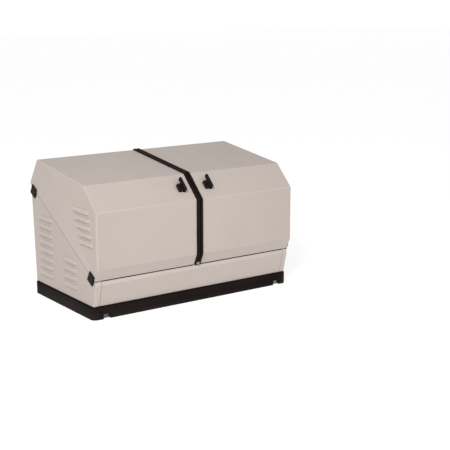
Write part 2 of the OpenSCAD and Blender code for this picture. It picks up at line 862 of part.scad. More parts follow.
module stator_housing() {
    color(cast)
        difference() {
            union() {
                bar_x(alt_x0, alt_x1, shaft_y, shaft_z, 128);
                bar_x(alt_x0 + 40, alt_x1 - 40, shaft_y, shaft_z, 132);
                block(-200, -60, shaft_y - 152, shaft_y + 152, rail_top + 36, 186);
            }
            bar_x(alt_x0 + 8, alt_x1 - 8, shaft_y, shaft_z, 118);
            bar_x(alt_x1 - 9, alt_x1 + 1, shaft_y, shaft_z, 60);
            bar_x(alt_x0 - 1, alt_x0 + 9, shaft_y, shaft_z, 18 + fit);
            // Cooling slots round the outer end
            for (i = [0:11])
                translate([alt_x0 - 1, shaft_y, shaft_z])
                    rotate([i * 30, 0, 0])
                        translate([0, -9, 50])
                            cube([10, 18, 48]);
            block(-210, -50, shaft_y - 90, shaft_y + 90, rail_top, 160);
        }
}
module stator_core() {
    color(dark)
        difference() {
            bar_x(-220, -40, shaft_y, shaft_z, 117.6);
            bar_x(-221, -39, shaft_y, shaft_z, 97);
        }
}
module rotor() {
    color(steel)
        difference() {
            union() {
                bar_x(-215, -45, shaft_y, shaft_z, 95);
                bar_x(-240, -20, shaft_y, shaft_z, 62);
            }
            bar_x(-241, -19, shaft_y, shaft_z, 18);
        }
}
// ---- Exhaust ----
pipe_y = 147;
pipe_z = 447;
pipe_r = 17;
muffler_x = -430;
muffler_z = 290;
muffler_r = 82;
module exhaust_pipes() {
    color(steel)
        for (s = [-1, 1])
            let(x1 = 155 + s * 22 - 64.4, y = shaft_y + s * pipe_y)
                difference() {
                    union() {
                        bar_x(muffler_x, x1, y, pipe_z, pipe_r);
                        bar_x(x1 - 8, x1, y, pipe_z, 28);
                        translate([muffler_x, y, pipe_z])
                            sphere(pipe_r);
                        translate([muffler_x, y, muffler_z + muffler_r - 6])
                            cylinder(r = pipe_r, h = pipe_z - muffler_z - muffler_r + 6);
                        translate([muffler_x, y, muffler_z + muffler_r + 1])
                            cylinder(r = 25, h = 8);
                    }
                    bar_x(muffler_x, x1 + 1, y, pipe_z, pipe_r - 2);
                    translate([muffler_x, y, muffler_z + muffler_r - 10])
                        cylinder(r = pipe_r - 2, h = pipe_z - muffler_z - muffler_r + 10);
                }
}
module muffler() {
    y0 = shaft_y - 195;
    y1 = shaft_y + 195;
    color(steel)
        difference() {
            union() {
                bar_y(muffler_x, y0, y1, muffler_z, muffler_r);
                for (y = [y0 - 3, y1 - 5])
                    bar_y(muffler_x, y, y + 8, muffler_z, muffler_r + 4);
                for (y = [y0 + 60, y1 - 80])
                    block(muffler_x - 30, muffler_x + 30, y, y + 4, well_z, muffler_z);
                bar_y(muffler_x, y1, rear_y(tail_z) + 2, tail_z, 24);
            }
            bar_y(muffler_x, y0 + 2, y1 - 2, muffler_z, muffler_r - 2);
            bar_y(muffler_x, y1 - 10, 400, tail_z, 22);
            for (s = [-1, 1])
                translate([muffler_x, shaft_y + s * pipe_y, muffler_z])
                    cylinder(r = pipe_r + 0.3, h = 120);
        }
}
module heat_baffle() {
    x = -312;
    outline = [[-235, well_z], [255, well_z], [255, base_h + 30], [300, base_h + 60], [310, 560],
        [230, 640], [-190, 590], [-310, 480], [-310, base_h + 50], [-235, base_h + 20]];
    color(steel)
        difference() {
            along_x(x, x + 3, outline);
            for (s = [-1, 1])
                bar_x(x - 1, x + 4, shaft_y + s * pipe_y, pipe_z, pipe_r + 8);
            // Way through for the cooling air of the alternator
            bar_x(x - 1, x + 4, shaft_y, shaft_z - 10, 70);
        }
}
module air_cleaner() {
    color(black)
        difference() {
            union() {
                soft_block(60, 260, shaft_y - 90, shaft_y + 90, 530, 585, 26);
                soft_block(66, 254, shaft_y - 84, shaft_y + 84, 584, 596, 22);
                translate([160, shaft_y, 500])
                    cylinder(r = 34, h = 31);
                bar_x(259, 290, shaft_y, 556, 24);
            }
            soft_block(64, 256, shaft_y - 86, shaft_y + 86, 534, 581, 22);
            translate([160, shaft_y, 499])
                cylinder(r = 24, h = 36);
            bar_x(250, 291, shaft_y, 556, 20);
        }
}
module intake_mixer() {
    color(cast)
        difference() {
            union() {
                translate([160, shaft_y, 411])
                    cylinder(r = 30, h = 88.7);
                // Runners to the two heads, cut off at their fins
                for (s = [-1, 1])
                    difference() {
                        translate([155 + s * 12, shaft_y, 450])
                            rotate([-s * 68, 0, 0])
                                cylinder(r = 17, h = 140);
                        on_bank(s)
                            translate([-100, s > 0 ? -62.3 : -100, 0])
                                cube([200, 162.3, 300]);
                    }
                block(130, 190, shaft_y - 38, shaft_y + 38, 410.5, 417);
            }
            translate([160, shaft_y, 420])
                cylinder(r = 22, h = 90);
        }
}
module oil_filter() {
    color(dark)
        translate([140, shaft_y - 110.3, 222])
            rotate([90, 0, 0])
                rotate_extrude()
                    polygon([[0, 0], [30, 0], [34, 3], [37, 6], [37, 72], [32, 80], [0, 82]]);
}
module starter_motor() {
    color(dark)
        union() {
            bar_x(138, 250, shaft_y + 150, 262, 34);
            bar_x(250, 275.6, shaft_y + 150, 262, 24);
            bar_x(150, 225, shaft_y + 160, 308, 20);
            block(170, 230, shaft_y + 110.2, shaft_y + 150, 240, 284);
        }
}
module dipstick() {
    color(black)
        translate([case_x1 - 30, shaft_y - 96, 230])
            rotate([30, 0, 0])
                union() {
                    translate([0, 0, -52])
                        cylinder(r = 3, h = 116);
                    translate([0, 0, 62.4])
                        cylinder(r = 14, h = 14);
                    translate([-3, -14, 76])
                        cube([6, 28, 16]);
                }
}
// ---- Battery, controls and fuel ----
bat_x0 = 368;
bat_x1 = 536;
bat_y0 = -240;
bat_y1 = -34;
bat_z = 26;
bat_h = 190;
module battery_tray() {
    color(black)
        difference() {
            soft_block(bat_x0 - 4, bat_x1 + 3, bat_y0 - 4, bat_y1 + 4, well_z, well_z + 40, 6);
            block(bat_x0 - 0.4, bat_x1 + 0.4, bat_y0 - 0.4, bat_y1 + 0.4, bat_z, 100);
        }
}
module battery() {
    color(dark)
        union() {
            soft_block(bat_x0, bat_x1, bat_y0, bat_y1, bat_z, bat_z + bat_h - 30, 5);
            soft_block(bat_x0 + 3, bat_x1 - 3, bat_y0 + 3, bat_y1 - 3,
                bat_z + bat_h - 31, bat_z + bat_h - 6, 5);
            soft_block(bat_x0 + 40, bat_x1 - 40, bat_y0 + 12, bat_y1 - 12,
                bat_z + bat_h - 8, bat_z + bat_h, 4);
            for (y = [bat_y0 + 26, bat_y1 - 26])
                translate([bat_x0 + 22, y, bat_z + bat_h - 8])
                    cylinder(r1 = 9, r2 = 8, h = 22);
        }
}
module battery_strap() {
    y = (bat_y0 + bat_y1) / 2;
    color(black)
        difference() {
            block(bat_x0 - 6.6, bat_x1 + 3.6, y - 14, y + 14, well_z + 40.4, bat_z + bat_h + 3);
            block(bat_x0 - 4.2, bat_x1 + 0.4, y - 15, y + 15, 0, bat_z + bat_h + 0.5);
        }
}
box_x0 = -270;
box_x1 = -40;
box_y0 = -290;
box_y1 = -175;
box_z0 = 330;
box_z1 = 555;
module control_stand() {
    color(dark)
        union() {
            for (x = [box_x0 + 10, box_x1 - 50])
                difference() {
                    block(x, x + 40, box_y1 - 50, box_y1 - 10, well_z, box_z0 - 4);
                    block(x + 3, x + 37, box_y1 - 47, box_y1 - 9, well_z + 3, box_z0);
                }
            block(box_x0, box_x1, box_y0 + 10, box_y1, box_z0 - 4.2, box_z0 - 0.2);
        }
}
module control_box() {
    color(dark)
        difference() {
            soft_block(box_x0, box_x1, box_y0, box_y1, box_z0, box_z1, 6);
            block(box_x0 + 3, box_x1 - 3, box_y0 - 1, box_y1 - 3, box_z0 + 3, box_z1 - 3);
        }
}
face_y = box_y0 - 3.2;
// Plate outline in X and Z, from the plate's front to its back
module face_block(x0, x1, z0, z1, y0, y1, r) {
    translate([0, y1, 0])
        rotate([90, 0, 0])
            linear_extrude(y1 - y0)
                round_rect(x0, x1, z0, z1, r);
}
display = [-245, -165, 455, 515];
switch_x = -105;
switch_z = 485;
breaker_x = -115;
breaker_z = 400;
module control_panel() {
    color(black)
        difference() {
            face_block(box_x0, box_x1, box_z0, box_z1, face_y, box_y0 - 0.2, 8);
            face_block(display[0], display[1], display[2], display[3], face_y - 1, face_y + 2, 4);
            face_block(switch_x - 12.5, switch_x + 12.5, switch_z - 20.5, switch_z + 20.5,
                face_y - 1, box_y0 + 1, 2);
            face_block(breaker_x - 37, breaker_x + 37, breaker_z - 32, breaker_z + 32,
                face_y - 1, box_y0 + 1, 2);
        }
}
module display_window() {
    color("#5b6f6a")
        face_block(display[0] + 0.2, display[1] - 0.2, display[2] + 0.2, display[3] - 0.2,
            face_y - 0.8, face_y + 1.8, 4);
}
module mode_switch() {
    color(black)
        intersection() {
            bar_x(switch_x - 12, switch_x + 12, box_y0 + 12, switch_z, 21);
            union() {
                along_x(switch_x - 12, switch_x + 12,
                    [[box_y0 + 12, switch_z - 12], [box_y0 + 12, switch_z + 12],
                    [face_y - 2, switch_z + 19], [face_y + 1, switch_z], [face_y - 2, switch_z - 19]]);
                bar_x(switch_x - 12, switch_x + 12, box_y0 + 12, switch_z, 6);
            }
        }
}
module breaker_body() {
    color(dark)
        difference() {
            face_block(breaker_x - 36, breaker_x + 36, breaker_z - 31, breaker_z + 31,
                face_y - 3, box_y0 + 60, 2);
            face_block(breaker_x - 26, breaker_x + 26, breaker_z - 20, breaker_z + 20,
                face_y - 4, box_y0 + 22, 2);
        }
}
module breaker_lever() {
    color(black)
        union() {
            bar_x(breaker_x - 25, breaker_x + 25, box_y0 + 10, breaker_z, 9);
            translate([breaker_x, box_y0 + 10, breaker_z])
                rotate([-25, 0, 0])
                    difference() {
                        translate([-22, -33, -4])
                            cube([44, 30, 8]);
                        translate([-8, -27, -5])
                            cube([16, 25, 10]);
                    }
        }
}
reg_y = 190;
module gas_regulator() {
    color(cast)
        difference() {
            union() {
                bar_y(fuel_x, reg_y, reg_y + 18, fuel_z, 62);
                bar_y(fuel_x, reg_y + 17, reg_y + 46, fuel_z, 46);
                bar_y(fuel_x, reg_y + 45, reg_y + 60, fuel_z, 18);
                block(fuel_x - 30, fuel_x + 30, reg_y + 2, reg_y + 8, well_z, fuel_z);
                block(fuel_x - 30, fuel_x + 30, reg_y + 2, reg_y + 60, well_z, well_z + 5);
            }
            bar_y(fuel_x, reg_y + 30, reg_y + 61, fuel_z, 9);
        }
}
module fuel_pipe() {
    color("#b08a4a")
        difference() {
            union() {
                bar_y(fuel_x, reg_y + 60.2, 318, fuel_z, 11);
                bar_y(fuel_x, reg_y + 60.2, reg_y + 74, fuel_z, 16);
                bar_y(fuel_x, 304, 318, fuel_z, 16);
            }
            bar_y(fuel_x, reg_y + 59, 319, fuel_z, 8);
        }
}
module fuel_inlet() {
    y = rear_y(fuel_z);
    color(steel)
        difference() {
            union() {
                bar_y(fuel_x, 318.2, 367, fuel_z, fuel_r);
                translate([fuel_x, y + 1.4, fuel_z])
                    rotate([-90, 0, 0])
                        cylinder(r = 19, h = 6, $fn = 6);
                translate([fuel_x, y - 9.6, fuel_z])
                    rotate([-90, 0, 0])
                        cylinder(r = 19, h = 6, $fn = 6);
            }
            bar_y(fuel_x, 300, 400, fuel_z, 7.5);
        }
}
module conduit_entry() {
    y = rear_y(conduit_z);
    color(black)
        difference() {
            union() {
                bar_y(conduit_x, y - 12, y + 12, conduit_z, conduit_r + 2.2);
                bar_y(conduit_x, y + 1.4, y + 5, conduit_z, conduit_r + 8);
                bar_y(conduit_x, y - 8, y - 3.4, conduit_z, conduit_r + 8);
            }
            bar_y(conduit_x, y - 13, y + 13, conduit_z, conduit_r);
        }
}

base();
end_panel_left();
end_panel_right();
rear_panel();
front_panel();
centre_arch();
centre_trim();
lid_seals();
corner_caps();
hinge_leaves_body();
hinge_pins();
panel_screws();
engine_rails();
isolators();
crankcase();
cylinders();
cylinder_heads();
valve_covers();
blower_housing();
air_cleaner();
intake_mixer();
oil_filter();
starter_motor();
stator_housing();
stator_core();
exhaust_pipes();
muffler();
heat_baffle();
battery_tray();
battery();
battery_strap();
control_stand();
control_box();
control_panel();
display_window();
breaker_body();
gas_regulator();
fuel_pipe();
fuel_inlet();
conduit_entry();
crankshaft();
flywheel_fan();
rotor();
dipstick();
mode_switch();
breaker_lever();
lid_left();
hinge_leaves_left();
latch_base_left();
latch_lever_left();
latch_cam_left();
strut_tube_left();
strut_rod_left();
lid_right();
hinge_leaves_right();
latch_base_right();
latch_lever_right();
latch_cam_right();
strut_tube_right();
strut_rod_right();
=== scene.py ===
"""Looks of the home standby generator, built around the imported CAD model."""

import json
import math

import bmesh
import bpy
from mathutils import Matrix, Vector


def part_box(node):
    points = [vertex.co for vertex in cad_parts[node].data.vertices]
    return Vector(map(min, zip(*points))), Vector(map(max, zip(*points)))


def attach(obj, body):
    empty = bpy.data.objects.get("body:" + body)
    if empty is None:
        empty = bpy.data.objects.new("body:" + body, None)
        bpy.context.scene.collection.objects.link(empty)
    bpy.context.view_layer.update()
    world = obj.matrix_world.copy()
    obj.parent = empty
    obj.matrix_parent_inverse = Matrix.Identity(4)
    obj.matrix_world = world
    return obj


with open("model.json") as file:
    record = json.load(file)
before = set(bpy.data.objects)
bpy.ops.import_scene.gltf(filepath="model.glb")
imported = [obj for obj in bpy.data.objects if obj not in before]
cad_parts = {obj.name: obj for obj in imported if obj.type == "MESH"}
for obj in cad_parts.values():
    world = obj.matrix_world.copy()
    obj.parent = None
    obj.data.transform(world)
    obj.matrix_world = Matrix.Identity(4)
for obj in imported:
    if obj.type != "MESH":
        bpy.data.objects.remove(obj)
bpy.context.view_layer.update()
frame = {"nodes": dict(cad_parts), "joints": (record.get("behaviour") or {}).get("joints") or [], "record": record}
nodes = frame["nodes"]
scene = bpy.context.scene


# ---- Camera, floor and light ----
CAMERA_AT = (-3.117, -4.934, 1.656)
CAMERA_YAW = 35.71
CAMERA_PITCH = 12.53
CAMERA_LENS = 85.6
FLOOR_GLOW = 0.72


def make_camera():
    data = bpy.data.cameras.new("camera")
    data.lens = CAMERA_LENS
    data.sensor_width = 36
    data.clip_end = 60
    camera = bpy.data.objects.new("camera", data)
    camera.location = CAMERA_AT
    camera.rotation_euler = (math.radians(90 - CAMERA_PITCH), 0, -math.radians(CAMERA_YAW))
    scene.collection.objects.link(camera)
    scene.camera = camera


def make_area(name, at, aim, size, power, colour=(1, 1, 1)):
    data = bpy.data.lights.new(name, "AREA")
    data.shape = "RECTANGLE"
    data.size = size[0]
    data.size_y = size[1]
    data.energy = power
    data.color = colour
    light = bpy.data.objects.new(name, data)
    light.location = at
    light.rotation_euler = (Vector(aim) - Vector(at)).to_track_quat("-Z", "Y").to_euler()
    scene.collection.objects.link(light)


def make_world():
    """A white surround that is a little darker overhead."""
    world = bpy.data.worlds.new("studio")
    world.use_nodes = True
    tree = world.node_tree
    coords = tree.nodes.new("ShaderNodeTexCoord")
    split = tree.nodes.new("ShaderNodeSeparateXYZ")
    fade = tree.nodes.new("ShaderNodeMapRange")
    fade.inputs["From Min"].default_value = 0.1
    fade.inputs["From Max"].default_value = 0.9
    fade.inputs["To Min"].default_value = 1.15
    fade.inputs["To Max"].default_value = 0.42
    tree.links.new(coords.outputs["Generated"], split.inputs["Vector"])
    tree.links.new(split.outputs["Z"], fade.inputs["Value"])
    tree.links.new(fade.outputs["Result"], tree.nodes["Background"].inputs["Strength"])
    tree.nodes["Background"].inputs["Color"].default_value = (1, 1, 1, 1)
    scene.world = world


def make_floor():
    mesh = bpy.data.meshes.new("floor")
    reach = 30
    corners = [(-reach, -reach, 0), (reach, -reach, 0), (reach, reach, 0), (-reach, reach, 0)]
    mesh.from_pydata(corners, [], [(0, 1, 2, 3)])
    floor = bpy.data.objects.new("floor", mesh)
    scene.collection.objects.link(floor)
    material = bpy.data.materials.new("floor")
    material.use_nodes = True
    shader = material.node_tree.nodes["Principled BSDF"]
    shader.inputs["Base Color"].default_value = (0.32, 0.32, 0.32, 1)
    shader.inputs["Roughness"].default_value = 0.8
    shader.inputs["Emission Color"].default_value = (1, 1, 1, 1)
    shader.inputs["Emission Strength"].default_value = FLOOR_GLOW
    mesh.materials.append(material)


def make_studio():
    make_world()
    make_area("key", (-4.0, -4.2, 4.4), (0, 0, 0.3), (1.6, 1.2), 410, (1.0, 0.99, 0.97))
    make_area("fill", (3.6, -5.5, 2.4), (0, 0, 0.3), (2.6, 2.0), 40, (0.92, 0.95, 1.0))
    make_floor()
    scene.view_settings.view_transform = "Standard"


# ---- Materials ----
class Shader:
    """A material whose colour, roughness and bump come from noise in object space."""

    def __init__(self, name, roughness, metallic=0.0, coat=0.0, specular=0.5):
        self.material = bpy.data.materials.new(name)
        self.material.use_nodes = True
        self.tree = self.material.node_tree
        self.shader = self.tree.nodes["Principled BSDF"]
        self.shader.inputs["Roughness"].default_value = roughness
        self.shader.inputs["Metallic"].default_value = metallic
        self.shader.inputs["Coat Weight"].default_value = coat
        self.shader.inputs["Specular IOR Level"].default_value = specular
        self.coords = self.tree.nodes.new("ShaderNodeTexCoord")

    def node(self, kind, **values):
        new = self.tree.nodes.new(kind)
        for key, value in values.items():
            setattr(new, key, value)
        return new

    def link(self, a, b):
        self.tree.links.new(a, b)

    def noise(self, scale, detail=3.0, roughness=0.5):
        noise = self.node("ShaderNodeTexNoise")
        noise.inputs["Scale"].default_value = scale
        noise.inputs["Detail"].default_value = detail
        noise.inputs["Roughness"].default_value = roughness
        self.link(self.coords.outputs["Object"], noise.inputs["Vector"])
        return noise.outputs["Fac"]

    def ramp(self, source, low, high, start=0.35, end=0.65):
        ramp = self.node("ShaderNodeValToRGB")
        ramp.color_ramp.elements[0].position = start
        ramp.color_ramp.elements[0].color = (*low, 1)
        ramp.color_ramp.elements[1].position = end
        ramp.color_ramp.elements[1].color = (*high, 1)
        self.link(source, ramp.inputs["Fac"])
        return ramp.outputs["Color"]

    def mix(self, fac, a, b):
        mix = self.node("ShaderNodeMix", data_type="RGBA")
        self.link(fac, mix.inputs["Factor"])
        for value, socket in ((a, mix.inputs[6]), (b, mix.inputs[7])):
            if isinstance(value, tuple):
                socket.default_value = (*value, 1)
            else:
                self.link(value, socket)
        return mix.outputs[2]

    def scaled(self, source, low, high):
        span = self.node("ShaderNodeMapRange")
        span.inputs["To Min"].default_value = low
        span.inputs["To Max"].default_value = high
        self.link(source, span.inputs["Value"])
        return span.outputs["Result"]

    def worn_edges(self, amount):
        """Bright only along edges that stand out."""
        geometry = self.node("ShaderNodeNewGeometry")
        span = self.node("ShaderNodeMapRange")
        span.inputs["From Min"].default_value = 0.52
        span.inputs["From Max"].default_value = 0.62
        span.inputs["To Max"].default_value = amount
        self.link(geometry.outputs["Pointiness"], span.inputs["Value"])
        return span.outputs["Result"]

    def finish(self, colour, roughness=None, bump=None, strength=0.1, distance=0.001):
        self.link(colour, self.shader.inputs["Base Color"])
        if roughness is not None:
            self.link(roughness, self.shader.inputs["Roughness"])
        if bump is not None:
            node = self.node("ShaderNodeBump")
            node.inputs["Strength"].default_value = strength
            node.inputs["Distance"].default_value = distance
            self.link(bump, node.inputs["Height"])
            self.link(node.outputs["Normal"], self.shader.inputs["Normal"])
        return self.material


def beige_paint():
    s = Shader("beige_powder_coat", 0.5, coat=0.04, specular=0.3)
    broad = s.ramp(s.noise(2.2, 4), (0.352, 0.304, 0.277), (0.374, 0.323, 0.294), 0.3, 0.7)
    speck = s.ramp(s.noise(900, 2), (0.95, 0.95, 0.95), (1.0, 1.0, 1.0))
    colour = s.node("ShaderNodeMix", data_type="RGBA", blend_type="MULTIPLY")
    colour.inputs["Factor"].default_value = 1
    s.link(broad, colour.inputs[6])
    s.link(speck, colour.inputs[7])
    worn = s.mix(s.worn_edges(0.3), colour.outputs[2], (0.47, 0.42, 0.385))
    rough = s.scaled(s.noise(6, 4), 0.46, 0.6)
    return s.finish(worn, rough, s.noise(650, 2, 0.6), 0.12, 0.0004)


def dark_paint():
    s = Shader("dark_powder_coat", 0.45, coat=0.1)
    colour = s.ramp(s.noise(5, 4), (0.028, 0.03, 0.033), (0.045, 0.047, 0.05))
    worn = s.mix(s.worn_edges(0.35), colour, (0.16, 0.16, 0.165))
    return s.finish(worn, s.scaled(s.noise(9, 3), 0.38, 0.55), s.noise(700, 2), 0.15, 0.0004)


def black_moulding():
    s = Shader("black_moulded_plastic", 0.5, specular=0.02)
    colour = s.ramp(s.noise(4, 5), (0.0054, 0.0034, 0.003), (0.0086, 0.0058, 0.0052))
    worn = s.mix(s.worn_edges(0.3), colour, (0.04, 0.034, 0.031))
    return s.finish(worn, s.scaled(s.noise(12, 3), 0.45, 0.65), s.noise(1200, 3, 0.7), 0.25, 0.0005)


def black_rubber():
    s = Shader("black_rubber", 0.75, specular=0.18)
    colour = s.ramp(s.noise(14, 4), (0.005, 0.0046, 0.0044), (0.010, 0.0092, 0.0088))
    return s.finish(colour, s.scaled(s.noise(30, 3), 0.65, 0.85), s.noise(1600, 2), 0.2, 0.0004)


def zinc_steel():
    s = Shader("zinc_plated_steel", 0.35, metallic=1.0)
    colour = s.ramp(s.noise(18, 5), (0.42, 0.42, 0.40), (0.62, 0.62, 0.60))
    return s.finish(colour, s.scaled(s.noise(60, 4), 0.25, 0.48), s.noise(400, 2), 0.08, 0.0004)


def cast_alloy():
    s = Shader("sand_cast_alloy", 0.5, metallic=0.9)
    colour = s.ramp(s.noise(9, 5), (0.36, 0.365, 0.37), (0.5, 0.505, 0.51))
    oily = s.mix(s.worn_edges(0.4), colour, (0.66, 0.66, 0.66))
    return s.finish(oily, s.scaled(s.noise(25, 4), 0.42, 0.68), s.noise(520, 4, 0.7), 0.4, 0.0008)


def exhaust_steel():
    s = Shader("heat_tinted_steel", 0.4, metallic=1.0)
    tint = s.ramp(s.noise(5, 3), (0.32, 0.27, 0.22), (0.5, 0.46, 0.42), 0.3, 0.7)
    straw = s.mix(s.scaled(s.noise(11, 2), 0.0, 0.35), tint, (0.42, 0.3, 0.2))
    return s.finish(straw, s.scaled(s.noise(40, 4), 0.3, 0.55), s.noise(350, 3), 0.12, 0.0005)


def iron():
    s = Shader("machined_iron", 0.45, metallic=1.0)
    colour = s.ramp(s.noise(12, 5), (0.13, 0.13, 0.135), (0.24, 0.24, 0.245))
    return s.finish(colour, s.scaled(s.noise(35, 4), 0.35, 0.6), s.noise(600, 3), 0.2, 0.0005)


def battery_case():
    s = Shader("battery_case", 0.4)
    colour = s.ramp(s.noise(7, 4), (0.02, 0.021, 0.024), (0.034, 0.035, 0.039))
    return s.finish(colour, s.scaled(s.noise(20, 3), 0.35, 0.5), s.noise(900, 2), 0.12, 0.0004)


def brass():
    s = Shader("satin_brass", 0.35, metallic=1.0)
    colour = s.ramp(s.noise(15, 4), (0.55, 0.36, 0.13), (0.72, 0.5, 0.22))
    return s.finish(colour, s.scaled(s.noise(40, 3), 0.28, 0.48), s.noise(500, 2), 0.1, 0.0004)


def display_glass():
    s = Shader("display_glass", 0.12, coat=0.6)
    lines = s.node("ShaderNodeTexWave", wave_type="BANDS", bands_direction="Z")
    lines.inputs["Scale"].default_value = 90
    s.link(s.coords.outputs["Object"], lines.inputs["Vector"])
    colour = s.mix(s.scaled(lines.outputs["Fac"], 0.0, 0.3), (0.12, 0.2, 0.17), (0.05, 0.09, 0.08))
    return s.finish(colour, s.scaled(s.noise(8, 2), 0.08, 0.18))


def soft_rubber(name, low, high):
    s = Shader(name, 0.7, specular=0.3)
    colour = s.ramp(s.noise(22, 4), low, high)
    return s.finish(colour, s.scaled(s.noise(40, 3), 0.6, 0.82), s.noise(1400, 2), 0.2, 0.0004)


def foam():
    s = Shader("open_cell_foam", 0.95, specular=0.1)
    cells = s.noise(420, 5, 0.8)
    return s.finish(s.ramp(cells, (0.012, 0.012, 0.013), (0.05, 0.05, 0.052)), None, cells, 0.8, 0.002)


# Darkest and lightest colour of the coloured rubbers and the lamps' caps
SOFT_SHADES = {
    "red_rubber": ((0.30, 0.012, 0.01), (0.42, 0.022, 0.016)),
    "tan_rubber": ((0.17, 0.14, 0.125), (0.24, 0.2, 0.18)),
    "grey_rubber": ((0.2, 0.21, 0.2), (0.27, 0.28, 0.27)),
    "pale_rubber": ((0.36, 0.37, 0.38), (0.46, 0.47, 0.48)),
    "lamp_green": ((0.03, 0.3, 0.06), (0.05, 0.42, 0.09)),
    "lamp_red": ((0.35, 0.02, 0.015), (0.5, 0.03, 0.02)),
}

MAKERS = {
    "beige_paint": beige_paint, "dark_paint": dark_paint, "black_moulding": black_moulding,
    "black_rubber": black_rubber, "zinc_steel": zinc_steel, "cast_alloy": cast_alloy,
    "exhaust_steel": exhaust_steel, "iron": iron, "battery_case": battery_case,
    "brass": brass, "display_glass": display_glass,
}


def paint_cad():
    """Gives every CAD node its material and softens its edges."""
    made = {slot: make() for slot, make in MAKERS.items()}
    for part in frame["record"]["subparts"]:
        piece = nodes[part["node"]]
        piece.data.materials.clear()
        piece.data.materials.append(made[part["material_slot"]])
        soften(piece, EDGE.get(part["node"], 0.0006))
    return made


# Width of the rounding on the edges of the pieces that need more than the usual, in metres
EDGE = {"base": 0.004, "lid_left": 0.0025, "lid_right": 0.0025, "corner_caps": 0.002,
    "end_panel_left": 0.0009, "end_panel_right": 0.0009}


def soften(piece, width):
    bevel = piece.modifiers.new("edges", "BEVEL")
    bevel.width = width
    bevel.segments = 2
    bevel.limit_method = "ANGLE"
    bevel.angle_limit = math.radians(28)
    bevel.use_clamp_overlap = True
    bevel.harden_normals = False


# ---- Mesh building, in millimetres ----
MM = 0.001


def add_piece(name, build, body, material, smooth=True):
    """Makes a mesh with BUILD, scales it to metres and lets it ride on a body."""
    mesh = bpy.data.meshes.new(name)
    work = bmesh.new()
    build(work)
    bmesh.ops.scale(work, vec=(MM, MM, MM), verts=work.verts)
    bmesh.ops.recalc_face_normals(work, faces=work.faces)
    work.to_mesh(mesh)
    work.free()
    if smooth:
        mesh.shade_smooth()
        mesh.set_sharp_from_angle(angle=math.radians(35))
    mesh.materials.append(material)
    piece = bpy.data.objects.new(name, mesh)
    scene.collection.objects.link(piece)
    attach(piece, body)
    return piece


def rounded_box(work, low, high, radius):
    """Box between two corners with every edge rounded."""
    low, high = Vector(low), Vector(high)
    made = bmesh.ops.create_cube(work, size=1)["verts"]
    bmesh.ops.scale(work, vec=high - low, verts=made)
    edges = list({e for v in made for e in v.link_edges})
    made = bmesh.ops.bevel(work, geom=made + edges, offset=radius, segments=3, profile=0.5,
        affect="EDGES", clamp_overlap=True)["verts"]
    bmesh.ops.translate(work, vec=(low + high) / 2, verts=made)
    return made


def frame_along(direction):
    """Two unit vectors square to a direction and to each other."""
    side = direction.orthogonal().normalized()
    return side, direction.cross(side).normalized()


def lathe(work, at, axis, profile, sides=32):
    """Turned solid: PROFILE lists (radius, height) along the axis from AT."""
    at, axis = Vector(at), Vector(axis).normalized()
    u, v = frame_along(axis)
    rings = []
    for radius, height in profile:
        centre = at + axis * height
        rings.append([work.verts.new(centre + (u * math.cos(a) + v * math.sin(a)) * radius)
            for a in (2 * math.pi * k / sides for k in range(sides))])
    join_rings(work, rings)


def join_rings(work, rings, closed=False):
    count = len(rings[0])
    pairs = list(zip(rings, rings[1:]))
    if closed:
        pairs.append((rings[-1], rings[0]))
    for a, b in pairs:
        for k in range(count):
            work.faces.new((a[k], a[(k + 1) % count], b[(k + 1) % count], b[k]))
    if not closed:
        work.faces.new(list(reversed(rings[0])))
        work.faces.new(rings[-1])


def smooth_path(points, steps=8):
    """Catmull-Rom curve through the points."""
    points = [Vector(p) for p in points]
    ends = [points[0] * 2 - points[1]] + points + [points[-1] * 2 - points[-2]]
    path = []
    for a, b, c, d in zip(ends, ends[1:], ends[2:], ends[3:]):
        for k in range(steps):
            t = k / steps
            path.append(0.5 * (2 * b + (c - a) * t + (2 * a - 5 * b + 4 * c - d) * t * t
                + (3 * b - a - 3 * c + d) * t ** 3))
    return path + [points[-1]]


def sweep(work, path, radius, sides=14, rib=0.0, closed=False):
    """Tube along a path; RIB makes every other ring wider, as on a corrugated conduit."""
    count = len(path)
    side = None
    rings = []
    for k, point in enumerate(path):
        ahead = path[(k + 1) % count] if closed else path[min(k + 1, count - 1)]
        behind = path[k - 1] if closed else path[max(k - 1, 0)]
        along = (ahead - behind).normalized()
        if side is None:
            side = along.orthogonal().normalized()
        side = (side - along * side.dot(along)).normalized()
        other = along.cross(side)
        size = radius + (rib if k % 2 else 0)
        rings.append([work.verts.new(point + (side * math.cos(a) + other * math.sin(a)) * size)
            for a in (2 * math.pi * j / sides for j in range(sides))])
    join_rings(work, rings, closed)


def circle_path(at, axis, radius, steps=48):
    u, v = frame_along(Vector(axis))
    return [Vector(at) + (u * math.cos(a) + v * math.sin(a)) * radius
        for a in (2 * math.pi * k / steps for k in range(steps))]


def corners(node):
    """A node's lowest and highest corners in millimetres."""
    low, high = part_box(node)
    return Vector(low) / MM, Vector(high) / MM


def bolt(work, at, axis, size):
    """Hexagon head on a washer."""
    lathe(work, at, axis, [(size * 1.9, 0), (size * 1.9, 1.2), (size * 1.8, 1.4), (size * 1.5, 1.4)], 24)
    lathe(work, Vector(at) + Vector(axis).normalized() * 1.4, axis,
        [(size * 1.45, 0), (size * 1.5, 0.4), (size * 1.5, size), (size * 1.25, size * 1.15)], 6)


# ---- Details on the outside ----
def outside_details(m):
    trim_tab(m)
    slot_plates(m)
    joint_strips(m)
    for side in ("left", "right"):
        latch_lock(m, side)


def trim_tab(m):
    """Tab of the centre arch that shows under the trim's lower end."""
    low = corners("centre_trim")[0]
    foot = corners("front_panel")[1].z

    def build(work):
        rounded_box(work, (-10, low.y + 22, foot - 4), (10, low.y + 34, foot + 9), 2.5)
    add_piece("trim_end_tab", build, "enclosure", m["tan_rubber"])


